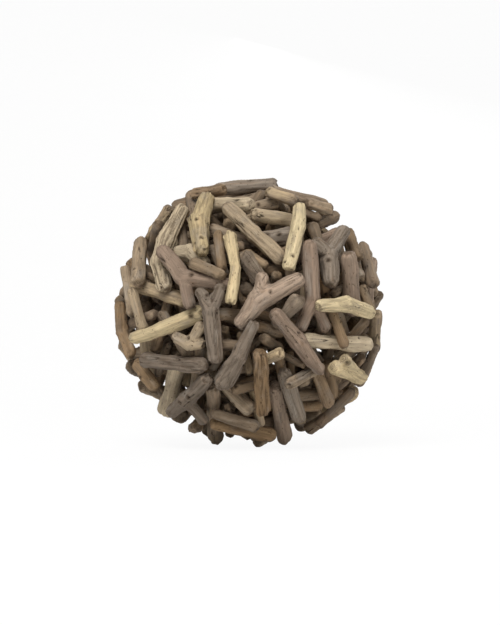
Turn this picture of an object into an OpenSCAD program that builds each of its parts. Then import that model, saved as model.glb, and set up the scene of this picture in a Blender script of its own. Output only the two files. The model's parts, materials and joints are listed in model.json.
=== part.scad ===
// Decorative ball of driftwood sticks.
//
// Several hundred short driftwood sticks are glued together where they touch, inside a round
// mould: the outermost sticks lie against the mould and each later stick is pressed outwards from
// inside. Taken out of the mould, the ball is a hollow shell two to four sticks deep, with ragged
// gaps that let light through. Nothing moves.
//
// The origin is the centre of the ball, +Z is up and the front looks towards -Y.
//
// How the sticks get their places: a stick is first drafted inside the ball, as one to three
// tapered limbs with round ends. It goes outwards until it meets a stick that already lies there,
// or the mould, and then tips over that first contact until it meets a second one. A glue line
// stays open at each contact. The front of the ball is laid by hand, from lists of sticks as seen
// from the front. The sides and the back follow by rule: an outer, a middle and an inner course,
// and a lining. At the end, each stick that still touches nothing is moved to its nearest neighbour.

/* [Ball] */
// Diameter of the round mould, and so of the ball
ball_diameter = 200; // [160:5:300]

/* [Sticks] */
// Thickness of a usual stick
stick_thickness = 10.5; // [8:0.5:13]
// Length of a usual rule-laid stick
stick_length = 44; // [30:1:60]
// Glue line left open between two sticks that touch
glue_line = 0.3; // [0.1:0.05:0.6]
// Largest angle that a stick tips over its first contact
tip_limit = 24; // [0:1:40]

/* [Courses] */
// Sticks tried in the outer course, over the whole ball
outer_count = 240; // [60:10:600]
// Sticks tried in the middle course, over the whole ball
middle_count = 270; // [60:10:600]
// Sticks tried in the inner course, over the whole ball
inner_count = 200; // [60:10:600]
// Sticks tried in the lining, over the whole ball
lining_count = 60; // [20:10:400]
// Changes the turns and lengths of the rule-laid sticks
seed = 7; // [1:1:99]

/* [Shaping] */
// Slimness of a limb where it leaves a knuckle, as a share of the knuckle
neck = 0.94; // [0.85:0.01:0.97]
// Slimmest waist of a limb, as a share of its thickness
waist = 0.95; // [0.9:0.01:1]

/* [Hidden] */
$fn = 40;
R = ball_diameter / 2;
scale_up = ball_diameter / 200;
thick = stick_thickness / 10.5;
near_enough = 0.04; // a seat this close to its glue line is good
far_off = 9; // gaps over this count as this

// Styles of a limb's end
BURIED = -1;
JOINT = 0;
WORN = 1;
SAWN = 2;
BROKEN = 3;

// --- plain arithmetic ---------------------------------------------------------------------------

function clamp01(x) = x < 0 ? 0 : x > 1 ? 1 : x;
function unit(v) = v / norm(v);
function mix(a, b, t) = a + (b - a) * t;
function fract(x) = x - floor(x);
function mean(list) = [for (v = list) 1] * list / len(list);
// An even spread of numbers between 0 and 1, the same on each build
function dice(n, k) = fract(sin(n * 37.719 + k * 113.37 + seed * 12.9898) * 43758.5453);

// Turn by angle a about the unit axis k
function turn_matrix(k, a) =
    let(c = cos(a), s = sin(a), v = 1 - c)
    [[c + k.x * k.x * v, k.x * k.y * v - k.z * s, k.x * k.z * v + k.y * s],
     [k.y * k.x * v + k.z * s, c + k.y * k.y * v, k.y * k.z * v - k.x * s],
     [k.z * k.x * v - k.y * s, k.z * k.y * v + k.x * s, c + k.z * k.z * v]];

// --- limbs --------------------------------------------------------------------------------------
// A limb is [start, end, radius at start, radius at end, style of start, style of end].

function moved(limbs, v) = [for (s = limbs) [s[0] + v, s[1] + v, s[2], s[3], s[4], s[5]]];
function turned(limbs, p, m) =
    [for (s = limbs) [p + m * (s[0] - p), p + m * (s[1] - p), s[2], s[3], s[4], s[5]]];

// Gap between two limbs and the points nearest it on their centrelines, as [gap, point, point]
function limb_gap(a, b) =
    let(d1 = a[1] - a[0], d2 = b[1] - b[0], r = a[0] - b[0],
        aa = d1 * d1, e = d2 * d2, f = d2 * r, c = d1 * r, k = d1 * d2,
        den = aa * e - k * k,
        s0 = den < 1e-6 ? 0.5 : clamp01((k * f - c * e) / den),
        t = clamp01((k * s0 + f) / e),
        s = clamp01((k * t - c) / aa),
        p = a[0] + s * d1,
        q = b[0] + t * d2)
    [norm(p - q) - mix(a[2], a[3], s) - mix(b[2], b[3], t), p, q];

// Each limb in a ball, as [centre, radius, limb], to pass over those that lie far apart
function wrapped(limbs) =
    [for (s = limbs) [(s[0] + s[1]) / 2, norm(s[1] - s[0]) / 2 + max(s[2], s[3]), s]];

// The gaps of a stick to wrapped limbs that lie near it
function gaps(limbs, near) =
    [for (a = wrapped(limbs), b = near)
        if (norm(a[0] - b[0]) < a[1] + b[1] + far_off) limb_gap(a[2], b[2])];
function least(list) = min(concat([far_off], [for (g = list) g[0]]));

function middle(limbs) = mean([for (s = limbs) (s[0] + s[1]) / 2]);
function bound(limbs, c) =
    max([for (s = limbs) max(norm(s[0] - c) + s[2], norm(s[1] - c) + s[3])]);
function reach(limbs) = max([for (s = limbs) max(norm(s[0]) + s[2], norm(s[1]) + s[3])]);
// Room left to the mould, or to the nearest of some wrapped limbs if that is less
function room(limbs, near) = min(R + glue_line - reach(limbs), least(gaps(limbs, near)));

// --- seating ------------------------------------------------------------------------------------

// Stretch of inward travel along -dir in which limb a would cut limb b, as [from, to]
function blocked(a, b, dir) =
    let(ha0 = a[0] * dir, ha1 = a[1] * dir, hb0 = b[0] * dir, hb1 = b[1] * dir,
        d1 = a[1] - a[0] - (ha1 - ha0) * dir, d2 = b[1] - b[0] - (hb1 - hb0) * dir,
        r = a[0] - b[0] - (ha0 - hb0) * dir,
        aa = d1 * d1 + 1e-6, e = d2 * d2 + 1e-6, f = d2 * r, c = d1 * r, k = d1 * d2,
        den = aa * e - k * k,
        s0 = den < 1e-3 ? 0.5 : clamp01((k * f - c * e) / den),
        t = clamp01((k * s0 + f) / e),
        s = clamp01((k * t - c) / aa),
        away = norm(r + s * d1 - t * d2),
        sum = mix(a[2], a[3], s) + mix(b[2], b[3], t) + glue_line)
    away >= sum ? [0, 0] :
    let(drop = mix(ha0, ha1, s) - mix(hb0, hb1, t), half = sqrt(sum * sum - away * away))
    [drop - half, drop + half];

// Wrapped limbs flattened along dir
function seen(near, dir) = [for (w = near) [w[0] - (w[0] * dir) * dir, w[1], w[2]]];

// Shortest inward travel that leaves a stick clear of all limbs seen near it
function travel(limbs, dir, near) =
    let(stops = [for (a = seen(wrapped(limbs), dir), b = near)
            if (norm(a[0] - b[0]) < a[1] + b[1])
                let(w = blocked(a[2], b[2], dir)) if (w[1] > 0 && w[0] < w[1]) w],
        tries = concat([0], [for (w = stops) w[1]]))
    min([for (t = tries) if (len([for (w = stops) if (t > w[0] && t < w[1]) 1]) == 0) t]);

// Go inwards, against dir, until clear of the mould and of all others
function go_in(limbs, dir, near, tries = 16) =
    let(g = room(limbs, near) - glue_line)
    g > -near_enough || tries == 0
        ? limbs
        : go_in(moved(limbs, dir * (g - near_enough / 2)), dir, near, tries - 1);

// Tip about the pivot p and the axis k until a second contact
function tip_over(limbs, p, k, arm, first, others, left, tries = 10) =
    let(g = room(limbs, others) - glue_line,
        f = least(gaps(limbs, first)) - glue_line,
        a = min(left, (g - near_enough / 2) / arm * 57.3))
    g < near_enough || f < -0.1 || left < 0.2 || tries == 0
        ? limbs
        : tip_over(turned(limbs, p, turn_matrix(k, a)), p, k, arm, first, others, left - a,
                   tries - 1);

// Sticks of the pile that a stick can meet on its way in, at most as deep as far
function on_the_way(limbs, dir, pile, far, margin = 0) =
    let(c = middle(limbs), b = bound(limbs, c) + margin, low = c * dir - far - b - 30)
    [for (item = pile)
        if (item[0] * dir > low)
            let(r = item[0] - c, t = max(-far, min(0, r * dir)))
            if (norm(r - t * dir) < b + item[1]) item];
function limbs_of(items) = [for (i = items, w = i[5]) w];

// The way of lying, out of several drafts, that ends up nearest the mould
function best_draft(drafts, dir, near) =
    let(options = [for (d = drafts) moved(d, -dir * travel(d, dir, near))],
        heights = [for (o = options) middle(o) * dir],
        top = max(heights))
    [for (i = [0:len(options) - 1]) if (heights[i] == top) options[i]][0];

// Bring a stick that is nearly in place to its contacts
function settle(limbs, dir, items) =
    let(near = limbs_of(items),
        out = go_in(limbs, dir, near),
        c = middle(out),
        touches = [for (i = items) least(gaps(out, i[5]))],
        g = min(concat([far_off], touches)))
    g == far_off || R + glue_line - reach(out) < g ? out :
    let(first = [for (i = [0:len(items) - 1]) if (touches[i] == g) i][0],
        p = [for (q = gaps(out, items[first][5])) if (q[0] == g) q[1]][0],
        w = c - p,
        lever = w - (w * dir) * dir)
    norm(lever) < 1.2 ? out :
    let(k = unit(cross(lever, dir)),
        arm = bound(out, p),
        others = [for (i = [0:len(items) - 1]) if (i != first) for (w = items[i][5]) w],
        tipped = tip_over(out, p, k, arm, items[first][5], others, tip_limit))
    go_in(tipped, dir, near);

// Seat one of several drafts as near the mould as it goes, or give up below the radius floor
function seat(drafts, dir, items, floor_radius) =
    let(best = best_draft(drafts, dir, seen(limbs_of(items), dir)))
    norm(middle(best)) < floor_radius ? [] :
    settle(best, dir, on_the_way(best, dir, items, 6));

// True if a stick found a place clear of the mould and of all others
function fits(limbs, items) = room(limbs, limbs_of(items)) > glue_line - 0.1;

// A stick of the pile is [middle, bound, limbs, name, dress, wrapped limbs]
function laid(limbs, name, dress) =
    let(c = middle(limbs)) [c, bound(limbs, c), limbs, name, dress, wrapped(limbs)];

// --- the front, laid by hand --------------------------------------------------------------------
// A front stick is [name, [[x, z], ...], [thickness, ...], [branch points], [branch thickness],
// dress], as seen from the front on a 200 mm ball. A dress is [colour, grooves, first end style,
// last end style]. Sticks with no name go into the group of their sector.

STRAW = "BurlyWood";
PALE = "Tan";
TAUPE = "RosyBrown";
GREY = "Gray";
BROWN = "Peru";
DARK = "DimGray";

front_low = [
    ["", [[-60, 36], [-58, -3]], [9, 8], [], [], [BROWN, 0, WORN, WORN]],
    ["", [[-68, 9], [-71, -30]], [8, 9], [], [], [PALE, 0, WORN, WORN]],
    ["", [[-79, 14], [-77, -28]], [8, 8], [], [], [DARK, 0, WORN, SAWN]],
    ["", [[-54, 24], [-52, -2]], [8, 8], [], [], [BROWN, 0, WORN, WORN]],
    ["", [[-61, -12], [-60, -38]], [8, 8], [], [], [DARK, 0, WORN, WORN]],
    ["", [[-47, -14], [-51, -36]], [7, 7], [], [], [DARK, 0, WORN, WORN]],
    ["", [[-22, -1], [4, -2]], [9, 8], [], [], [GREY, 0, SAWN, WORN]],
    ["", [[-3, 17], [17, 11]], [9, 9], [], [], [DARK, 0, WORN, WORN]],
    ["", [[0, 27], [25, 31]], [8, 9], [], [], [GREY, 0, WORN, WORN]],
    ["", [[-24, -22], [-2, -24]], [8, 8], [], [], [GREY, 0, WORN, WORN]],
    ["", [[-44, 17], [-20, 18]], [8, 8], [], [], [DARK, 0, WORN, WORN]],
    ["", [[-22, 53], [-20, 32]], [8, 8], [], [], [TAUPE, 0, WORN, WORN]],
    ["", [[-39, 34], [-20, 26]], [8, 8], [], [], [DARK, 0, WORN, WORN]],
    ["", [[-10, 36], [0, 40], [10, 33]], [7, 8, 7], [], [], [GREY, 0, WORN, WORN]],
    ["", [[2, -8], [20, -14]], [9, 9], [], [], [GREY, 0, SAWN, WORN]],
    ["", [[7, -16], [21, -26]], [8, 8], [], [], [BROWN, 0, WORN, WORN]],
    ["", [[27, 36], [29, 18]], [8, 8], [], [], [DARK, 0, WORN, WORN]],
    ["", [[52, 27], [58, 4]], [9, 9], [], [], [GREY, 0, WORN, WORN]],
    ["", [[54, 3], [57, -22]], [8, 7], [], [], [DARK, 0, WORN, WORN]],
    ["", [[61, 4], [66, -22]], [7, 8], [], [], [GREY, 0, WORN, WORN]],
    ["", [[73, 2], [78, -22]], [9, 9], [], [], [BROWN, 0, WORN, WORN]],
    ["", [[0, -36], [2, -62]], [9, 8], [], [], [DARK, 0, WORN, WORN]],
    ["", [[-10, -55], [6, -54]], [8, 8], [], [], [DARK, 0, WORN, WORN]],
    ["", [[14, -49], [28, -62]], [8, 9], [], [], [PALE, 0, WORN, SAWN]],
    ["", [[19, -28], [25, -52]], [7, 8], [], [], [PALE, 0, WORN, WORN]],
    ["", [[55, -31], [74, -33]], [8, 9], [], [], [BROWN, 0, WORN, WORN]],
    ["", [[74, -26], [77, -44]], [8, 8], [], [], [DARK, 0, WORN, WORN]],
    ["", [[58, -46], [65, -64]], [8, 8], [], [], [BROWN, 0, WORN, WORN]],
    ["", [[35, -52], [52, -62]], [9, 9], [], [], [BROWN, 0, WORN, SAWN]],
    ["", [[-60, -38], [-58, -54]], [8, 8], [], [], [DARK, 0, WORN, WORN]],
    ["", [[-37, -55], [-37, -78]], [8, 8], [], [], [DARK, 0, WORN, WORN]],
    ["", [[-50, -43], [-28, -49]], [8, 10], [], [], [PALE, 0, SAWN, WORN]],
    ["", [[-25, -72], [2, -80]], [8, 9], [], [], [BROWN, 0, WORN, WORN]],
    ["", [[40, 73], [41, 54]], [8, 8], [], [], [DARK, 0, WORN, WORN]],
    ["", [[38, 58], [44, 44]], [8, 8], [], [], [BROWN, 0, WORN, WORN]],
    ["", [[-41, 88], [-34, 70]], [8, 9], [], [], [DARK, 0, WORN, WORN]],
    ["", [[76, 57], [82, 41]], [8, 9], [], [], [DARK, 0, SAWN, WORN]],
];

front_middle = [
    ["peg_by_the_hole", [[-51, -17], [-42, -22], [-34, -21]], [8, 9, 8], [[-35, -10]], [8],
        [PALE, 0, WORN, BROKEN]],
    ["fat_knotted_stick", [[-51, 44], [-43, 44], [-36, 37]], [11, 13, 12], [], [],
        [PALE, 0, WORN, WORN]],
    ["", [[2, 73], [17, 85]], [9, 10], [], [], [GREY, 0, WORN, WORN]],
    ["", [[14, 85], [30, 80]], [8, 9], [], [], [TAUPE, 0, WORN, WORN]],
    ["", [[5, 81], [-8, 67]], [9, 9], [], [], [BROWN, 0, WORN, WORN]],
    ["", [[-8, 85], [18, 86]], [9, 9], [], [], [BROWN, 0, WORN, SAWN]],
    ["", [[-1, 61], [26, 67]], [8, 8], [], [], [BROWN, 0, WORN, WORN]],
    ["", [[-28, 65], [-4, 60]], [10, 10], [], [], [TAUPE, 0, SAWN, WORN]],
    ["", [[-3, 38], [9, 20]], [11, 10], [], [], [PALE, 0, WORN, WORN]],
    ["", [[33, 8], [19, -7]], [11, 9], [], [], [PALE, 0, WORN, WORN]],
    ["", [[40, 32], [38, 8]], [6, 6], [], [], [TAUPE, 0, WORN, WORN]],
    ["olive_lean_to", [[60, 30], [77, 8]], [10, 10], [], [], [BROWN, 0, WORN, WORN]],
    ["", [[9, -35], [23, -28]], [8, 8], [], [], [PALE, 0, WORN, SAWN]],
    ["", [[-82, 53], [-66, 62]], [9, 9], [], [], [GREY, 0, SAWN, WORN]],
    ["", [[-67, 64], [-50, 73]], [8, 9], [], [], [GREY, 0, WORN, WORN]],
    ["", [[-63, 75], [-46, 80]], [8, 8], [], [], [PALE, 0, WORN, WORN]],
    ["", [[-51, 84], [-47, 68]], [8, 8], [], [], [DARK, 0, SAWN, WORN]],
    ["", [[-40, 86], [-20, 89]], [8, 8], [], [], [GREY, 0, WORN, WORN]],
    ["", [[20, 90], [38, 88]], [9, 9], [], [], [GREY, 0, WORN, SAWN]],
    ["", [[43, 78], [56, 74]], [8, 8], [], [], [TAUPE, 0, WORN, WORN]],
    ["", [[50, 78], [62, 61]], [9, 10], [], [], [BROWN, 0, WORN, WORN]],
    ["", [[72, 60], [75, 38]], [8, 8], [], [], [PALE, 0, WORN, WORN]],
    ["", [[83, 49], [89, 22]], [8, 9], [], [], [PALE, 0, WORN, WORN]],
    ["", [[85, -4], [88, -32]], [9, 8], [], [], [BROWN, 0, WORN, WORN]],
    ["", [[89, -22], [79, -42]], [9, 9], [], [], [TAUPE, 0, WORN, WORN]],
    ["", [[84, -36], [80, -52]], [8, 8], [], [], [DARK, 0, WORN, SAWN]],
    ["", [[61, -54], [80, -56]], [9, 9], [], [], [BROWN, 0, WORN, WORN]],
    ["", [[47, -59], [68, -69]], [10, 10], [], [], [BROWN, 0, WORN, SAWN]],
    ["", [[51, -32], [56, -66]], [9, 9], [], [], [GREY, 0, WORN, WORN]],
    ["", [[32, -77], [58, -76]], [10, 9], [], [], [TAUPE, 0, WORN, SAWN]],
    ["", [[27, -87], [51, -81]], [8, 8], [], [], [BROWN, 0, WORN, WORN]],
    ["", [[12, -92], [34, -92]], [8, 8], [], [], [BROWN, 0, WORN, WORN]],
    ["", [[0, -96], [19, -94]], [8, 8], [], [], [DARK, 0, SAWN, WORN]],
    ["", [[-27, -91], [2, -94]], [8, 8], [], [], [TAUPE, 0, WORN, WORN]],
    ["", [[-58, -75], [-31, -87]], [10, 9], [], [], [BROWN, 0, SAWN, WORN]],
    ["", [[-76, -50], [-64, -69]], [8, 8], [], [], [GREY, 0, WORN, WORN]],
    ["", [[-84, -42], [-72, -55]], [8, 9], [], [], [DARK, 0, WORN, WORN]],
    ["", [[-93, -34], [-76, -44]], [9, 9], [], [], [TAUPE, 0, SAWN, WORN]],
    ["", [[-96, -12], [-84, -3]], [7, 8], [], [], [DARK, 0, SAWN, WORN]],
    ["", [[-9, -68], [8, -71], [15, -79]], [9, 10, 8], [], [],
        [TAUPE, 0, WORN, WORN]],
    ["", [[4, -71], [8, -84]], [7, 7], [], [], [PALE, 0, WORN, SAWN]],
];

front_top = [
    ["", [[-91, 31], [-91, 2]], [8, 8], [], [], [TAUPE, 0, WORN, WORN]],
    ["", [[-94, 5], [-93, -14], [-86, -29]], [8, 9, 9], [], [],
        [PALE, 0, WORN, WORN]],
    ["", [[-87, 21], [-62, 12]], [10, 11], [], [], [TAUPE, 0, WORN, WORN]],
    ["long_left_upright", [[-86, 14], [-84, -12], [-78, -42]], [7, 8, 13], [], [],
        [PALE, 2, WORN, WORN]],
    ["", [[-81, 51], [-80, 24]], [10, 11], [], [], [TAUPE, 2, SAWN, WORN]],
    ["twin_ridge_stick", [[-49, 73], [-62, 53], [-68, 39], [-67, 24]], [10, 14, 14, 11], [], [],
        [PALE, 3, WORN, WORN]],
    ["", [[-44, 88], [-45, 68]], [10, 10], [], [], [TAUPE, 0, SAWN, WORN]],
    ["eye_stick", [[-82, -18], [-65, -12], [-41, -2]], [9, 11, 11], [], [],
        [STRAW, 0, WORN, WORN]],
    ["forked_stick_left", [[-60, 42], [-47, 25], [-16, 20]], [12, 13, 8], [[-42, 6]], [8],
        [TAUPE, 0, WORN, WORN]],
    ["", [[-28, -53], [-2, -70]], [10, 12], [], [], [PALE, 0, WORN, WORN]],
    ["grooved_upright", [[7, -30], [10, -69]], [10, 11], [], [], [BROWN, 3, WORN, WORN]],
    ["yellow_base_stick", [[-24, -79], [14, -88]], [9, 11], [], [], [BROWN, 0, WORN, WORN]],
    ["", [[-29, -60], [-25, -91]], [10, 11], [], [], [PALE, 0, SAWN, WORN]],
    ["base_right_upright", [[22, -67], [25, -91]], [11, 11], [], [], [TAUPE, 0, WORN, WORN]],
    ["low_right_upright", [[27, -48], [34, -73]], [10, 11], [], [], [GREY, 2, WORN, SAWN]],
    ["", [[26, -50], [51, -41]], [8, 8], [], [], [GREY, 0, WORN, WORN]],
    ["brown_lean_to", [[71, 39], [84, 6]], [12, 12], [], [], [TAUPE, 0, SAWN, WORN]],
    ["right_limb_upright", [[92, 38], [93, 2]], [9, 11], [], [], [TAUPE, 0, SAWN, WORN]],
    ["", [[92, -2], [92, -26]], [9, 9], [], [], [BROWN, 0, WORN, SAWN]],
    ["right_grey_fork", [[60, 26], [58, 42], [67, 58]], [12, 13, 10], [[49, 50]], [10],
        [GREY, 0, WORN, WORN]],
    ["pink_stub", [[44, 57], [69, 62]], [12, 11], [], [], [TAUPE, 0, WORN, SAWN]],
    ["", [[41, 89], [38, 70]], [12, 12], [], [], [TAUPE, 0, SAWN, WORN]],
    ["two_legged_fork", [[42, 46], [44, 10], [36, -9]], [11, 11, 9], [[53, -10]], [8],
        [TAUPE, 2, WORN, WORN]],
    ["pale_bar_upper", [[49, 5], [67, 6], [85, 0]], [8, 12, 10], [], [], [STRAW, 0, BROKEN, WORN]],
    ["pale_bar_lower", [[46, -22], [83, -23]], [10, 11], [], [], [PALE, 0, WORN, WORN]],
    ["pale_broken_stick", [[60, -39], [80, -47]], [11, 10], [[67, -33]], [7],
        [STRAW, 0, BROKEN, SAWN]],
    ["", [[-80, -38], [-69, -52]], [10, 10], [], [], [PALE, 0, WORN, WORN]],
    ["low_left_upright", [[-60, -46], [-62, -72]], [12, 13], [], [], [PALE, 0, WORN, WORN]],
    ["low_left_fork", [[-31, -47], [-45, -62], [-56, -71]], [10, 12, 9], [[-33, -76]], [8],
        [GREY, 0, WORN, WORN]],
    ["burr_stick", [[4, 55], [28, 57]], [10, 13], [], [], [GREY, 0, WORN, WORN]],
    ["upper_crosspiece", [[4, 69], [29, 74]], [9, 11], [], [], [PALE, 0, WORN, WORN]],
    ["long_upper_diagonal", [[-15, 73], [3, 56], [20, 41]], [10, 12, 12], [], [],
        [PALE, 0, WORN, WORN]],
    ["knotted_upper_stick", [[-26, 85], [-1, 76]], [10, 10], [], [], [PALE, 0, WORN, WORN]],
    ["crown_stick", [[-22, 91], [17, 95]], [10, 10], [], [], [GREY, 0, WORN, SAWN]],
    ["centre_fork", [[-6, -7], [6, 9], [33, 23]], [11, 15, 11], [[8, 24]], [9],
        [TAUPE, 0, WORN, WORN]],
    ["bowed_pale_stick", [[-14, 53], [-10, 31], [-13, 8]], [9, 8, 8], [], [],
        [STRAW, 0, WORN, SAWN]],
    ["long_right_diagonal", [[18, -2], [33, -20], [48, -40]], [10, 13, 9], [], [],
        [TAUPE, 2, WORN, WORN]],
    ["grey_bar", [[-73, -34], [-34, -37]], [11, 11], [], [], [GREY, 3, SAWN, WORN]],
    ["dark_v_fork", [[-24, -31], [-27, 1], [-34, 13]], [10, 12, 8], [[-21, 16]], [8],
        [GREY, 2, WORN, WORN]],
    ["flared_stick", [[3, -8], [-8, -31], [-18, -47]], [7, 11, 15], [], [],
        [GREY, 0, WORN, BROKEN]],
    ["big_crooked_stick", [[-31, 82], [-36, 63], [-34, 44]], [10, 16, 11], [], [],
        [STRAW, 0, WORN, BROKEN]],
    ["cut_straw_stick", [[35, 74], [34, 60], [27, 33]], [9, 11, 9], [], [], [STRAW, 2, SAWN, WORN]],
];

// Points where light passes right through, in front view, and the radius kept free
windows = [[-40, -7, 2.5], [-15, 29, 1.5], [-9, 5, 2], [22, 7, 1.5], [39, 25, 1.5], [50, 72, 1.5],
           [86, -15, 1]];
// Deep dark gaps of the front, kept free of rule-laid sticks in front of the hollow
wells = [[-12, -13, 8], [-22, 56, 4], [-52, 52, 5], [17, 23, 4], [-4, -43, 4], [33, -37, 4],
         [-18, -73, 4], [22, -21, 3], [-72, 22, 3], [57, -47, 3], [-54, -55, 3]];

// A point of the front list, put on the draft sphere
function on_sphere(p, r) =
    let(q = p * scale_up, room = r * r - q * q)
    [q.x, room > 0 ? -sqrt(room) : 0, q.y];

function hand_limbs(s) =
    let(rad = s[2] * thick / 2,
        pts = [for (i = [0:len(s[1]) - 1]) on_sphere(s[1][i], R - rad[i])],
        n = len(pts) - 1,
        main = [for (i = [0:n - 1])
            [pts[i], pts[i + 1], rad[i], rad[i + 1],
             i == 0 ? s[5][2] : BURIED, i == n - 1 ? s[5][3] : JOINT]])
    len(s[3]) == 0 ? main :
    let(tip = s[4][0] * thick / 2)
    concat(main, [[pts[1], on_sphere(s[3][0], R - tip), min(rad[1] * 0.8, tip * 1.2), tip,
                   BURIED, WORN]]);

// Front sticks come straight forward where the ball faces the viewer, and from the centre at its rim
function hand_direction(limbs) =
    let(n = unit(middle(limbs)), w = clamp01((-n.y - 0.6) / 0.3))
    unit(w * [0, -1, 0] + (1 - w) * n);

// A draft slanted inwards, by a at its first end and b at its last
function slanted(limbs, dir, a, b) =
    let(p = limbs[0][0], q = limbs[min(1, len(limbs) - 1)][1], l = (q - p) * (q - p))
    [for (s = limbs)
        let(u = (s[0] - p) * (q - p) / l, v = (s[1] - p) * (q - p) / l)
        [s[0] - dir * mix(a, b, u), s[1] - dir * mix(a, b, v), s[2], s[3], s[4], s[5]]];
slants = [[0, 0], [0, 6], [6, 0], [0, 12], [12, 0]];

function lay_hand(s, group, pile) =
    let(draft = hand_limbs(s),
        dir = hand_direction(draft),
        limbs = seat([for (a = slants) slanted(draft, dir, a[0], a[1])], dir,
                     on_the_way(draft, dir, pile, 50, 6), 0))
    laid(limbs, s[0] == "" ? str(group, quarter(middle(limbs))) : s[0], s[5]);

function upper(c) = c.z > 0 ? "_upper" : "_lower";
function side(c) = c.x > 0 ? "_right" : "_left";
function quarter(c) = str(upper(c), side(c));

// --- the rest, laid by rule ---------------------------------------------------------------------

// Direction i of an even spread over the sphere that fills in from coarse to fine
function spread(i) =
    let(z = 1 - 2 * fract(0.5 + i * 0.75488), a = 360 * i * 0.56984, r = sqrt(1 - z * z))
    [r * cos(a), r * sin(a), z];

// A drafted stick in direction n, with its own length, thickness, turn and kind
function rule_limbs(n, id, turn, length_share, thickness_share, mould) =
    let(u = unit(cross(abs(n.z) < 0.9 ? [0, 0, 1] : [1, 0, 0], n)),
        t = u * cos(turn) + cross(n, u) * sin(turn),
        side = cross(n, t) * (dice(id, 1) < 0.5 ? 1 : -1),
        l = stick_length * length_share * (0.85 + 0.3 * dice(id, 2)),
        r = stick_thickness / 2 * thickness_share * (0.82 + 0.36 * dice(id, 3)),
        r2 = r * (0.78 + 0.2 * dice(id, 4)),
        kind = dice(id, 5),
        c = n * sqrt(pow(mould - r, 2) - l * l / 4),
        a = c - t * l / 2,
        b = c + t * l / 2,
        first = dice(id, 6) < 0.4 ? SAWN : WORN,
        last = dice(id, 7) < 0.3 ? SAWN : dice(id, 7) > 0.8 ? BROKEN : WORN)
    kind < 0.62 ? [[a, b, r, r2, first, last]] :
    kind < 0.86
        ? let(m = mix(a, b, 0.4 + 0.2 * dice(id, 8)) + side * (2 + 4 * dice(id, 9)))
          [[a, m, r, r, first, JOINT], [m, b, r, r2, BURIED, last]]
        : let(m = mix(a, b, 0.45), v = unit(t * 0.75 + side))
          [[a, b, r, r2, first, last],
           [m, m + v * l * 0.36, r * 0.76, r * 0.64, BURIED, WORN]];

// Free sight through a window, or into a well
function clears(limbs) =
    min(concat(
        [for (w = windows, s = limbs)
            limb_gap(s, [[w.x, -R, w.y] * scale_up, [w.x, R, w.y] * scale_up, 0, 0])[0]
            - w.z * scale_up],
        [for (w = wells, s = limbs)
            limb_gap(s, [[w.x, -R, w.y] * scale_up, [w.x, 0, w.y] * scale_up, 0, 0])[0]
            - w.z * scale_up])) > 0;

// Part of the ball that a front list covers already
function in_front(c) = -c.y / norm(c) > 0.3;

// Each course: sticks tried, depth of their mould, depth of the deepest middle, share of length
// and share of thickness
COURSES = [[outer_count, 0, 12, 1, 1], [middle_count, 0, 21, 0.95, 0.95],
           [inner_count, 12, 40, 0.95, 1], [lining_count, 28, 52, 1, 1.1]];
LAYERS = ["outer", "middle"];
turns_tried = 2;
front_depth = 9; // rule-laid sticks stay this far below the hand-laid front

function lay_rule(i, course, pile) =
    let(id = i + course * 1000,
        rule = COURSES[course],
        dir = spread(id),
        front = in_front(dir))
    course < 2 && front ? [] :
    let(first_turn = 180 * dice(id, 0),
        mould = R - max(rule[1], front ? front_depth : 0),
        drafts = [for (j = [0:turns_tried - 1])
            rule_limbs(dir, id, first_turn + j * 180 / turns_tried,
                       rule[3] * mix(1.15, 0.6, i / rule[0]), rule[4] * mix(1.1, 0.85, i / rule[0]),
                       mould)],
        items = on_the_way(drafts[0], dir, pile, rule[2] - rule[1], 5),
        limbs = seat(drafts, dir, items, R - rule[2]))
    limbs == [] || !clears(limbs) || !fits(limbs, on_the_way(limbs, dir, items, 0)) ? [] :
    [laid(limbs, group_name(course, dir),
          [[GREY, PALE, TAUPE, BROWN][floor(4 * dice(id, 10))], 0, WORN, WORN])];

function sector(n) =
    n.z > 0.6 ? "top" : n.z < -0.6 ? "bottom" :
    abs(n.x) > abs(n.y) ? (n.x > 0 ? "right" : "left") : (n.y > 0 ? "back" : "front");

// Name of the group that a rule-laid stick of a course belongs to
function group_name(course, n) =
    course < 2 ? str(LAYERS[course], "_sticks_", sector(n)) :
    course == 2 ? (n.y > 0 ? str("inner_sticks_back", quarter(n)) : str("inner_sticks_front", upper(n))) :
    str("lining_sticks", upper(n));

// --- laying everything in order -----------------------------------------------------------------

function lay_all_hand(list, group, pile) =
    [for (i = len(list), p = pile; i >= 0;
          p = i > 0 ? concat(p, [lay_hand(list[i - 1], group, p)]) : p, i = i - 1)
        if (i == 0) p][0];

function lay_all_rule(course, pile) =
    let(n = COURSES[course][0])
    [for (i = 0, p = pile; i <= n;
          p = i < n ? concat(p, lay_rule(i, course, p)) : p, i = i + 1)
        if (i == n) p][0];

FRONT = "front_sticks";
DEEP_FRONT = "deep_front_sticks";
top_pile = lay_all_rule(0, lay_all_hand(front_top, FRONT, []));
middle_pile = lay_all_rule(1, lay_all_hand(front_middle, FRONT, top_pile));
inner_pile = lay_all_rule(2, lay_all_hand(front_low, DEEP_FRONT, middle_pile));
loose_ball = lay_all_rule(3, inner_pile);

// --- joining up ---------------------------------------------------------------------------------
// A stick, or a few that touch only each other, can be left loose. Each such cluster is moved
// straight to the nearest stick that belongs to the rest of the ball.

joint_limit = glue_line + 0.25; // a gap up to this is a glue joint

function meets(a, b) = norm(a[0] - b[0]) < a[1] + b[1] && least(gaps(a[2], b[5])) < joint_limit;
function meetings(pile) =
    [for (i = [0:len(pile) - 1])
        [for (j = [0:len(pile) - 1]) if (j != i && meets(pile[i], pile[j])) j]];

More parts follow.
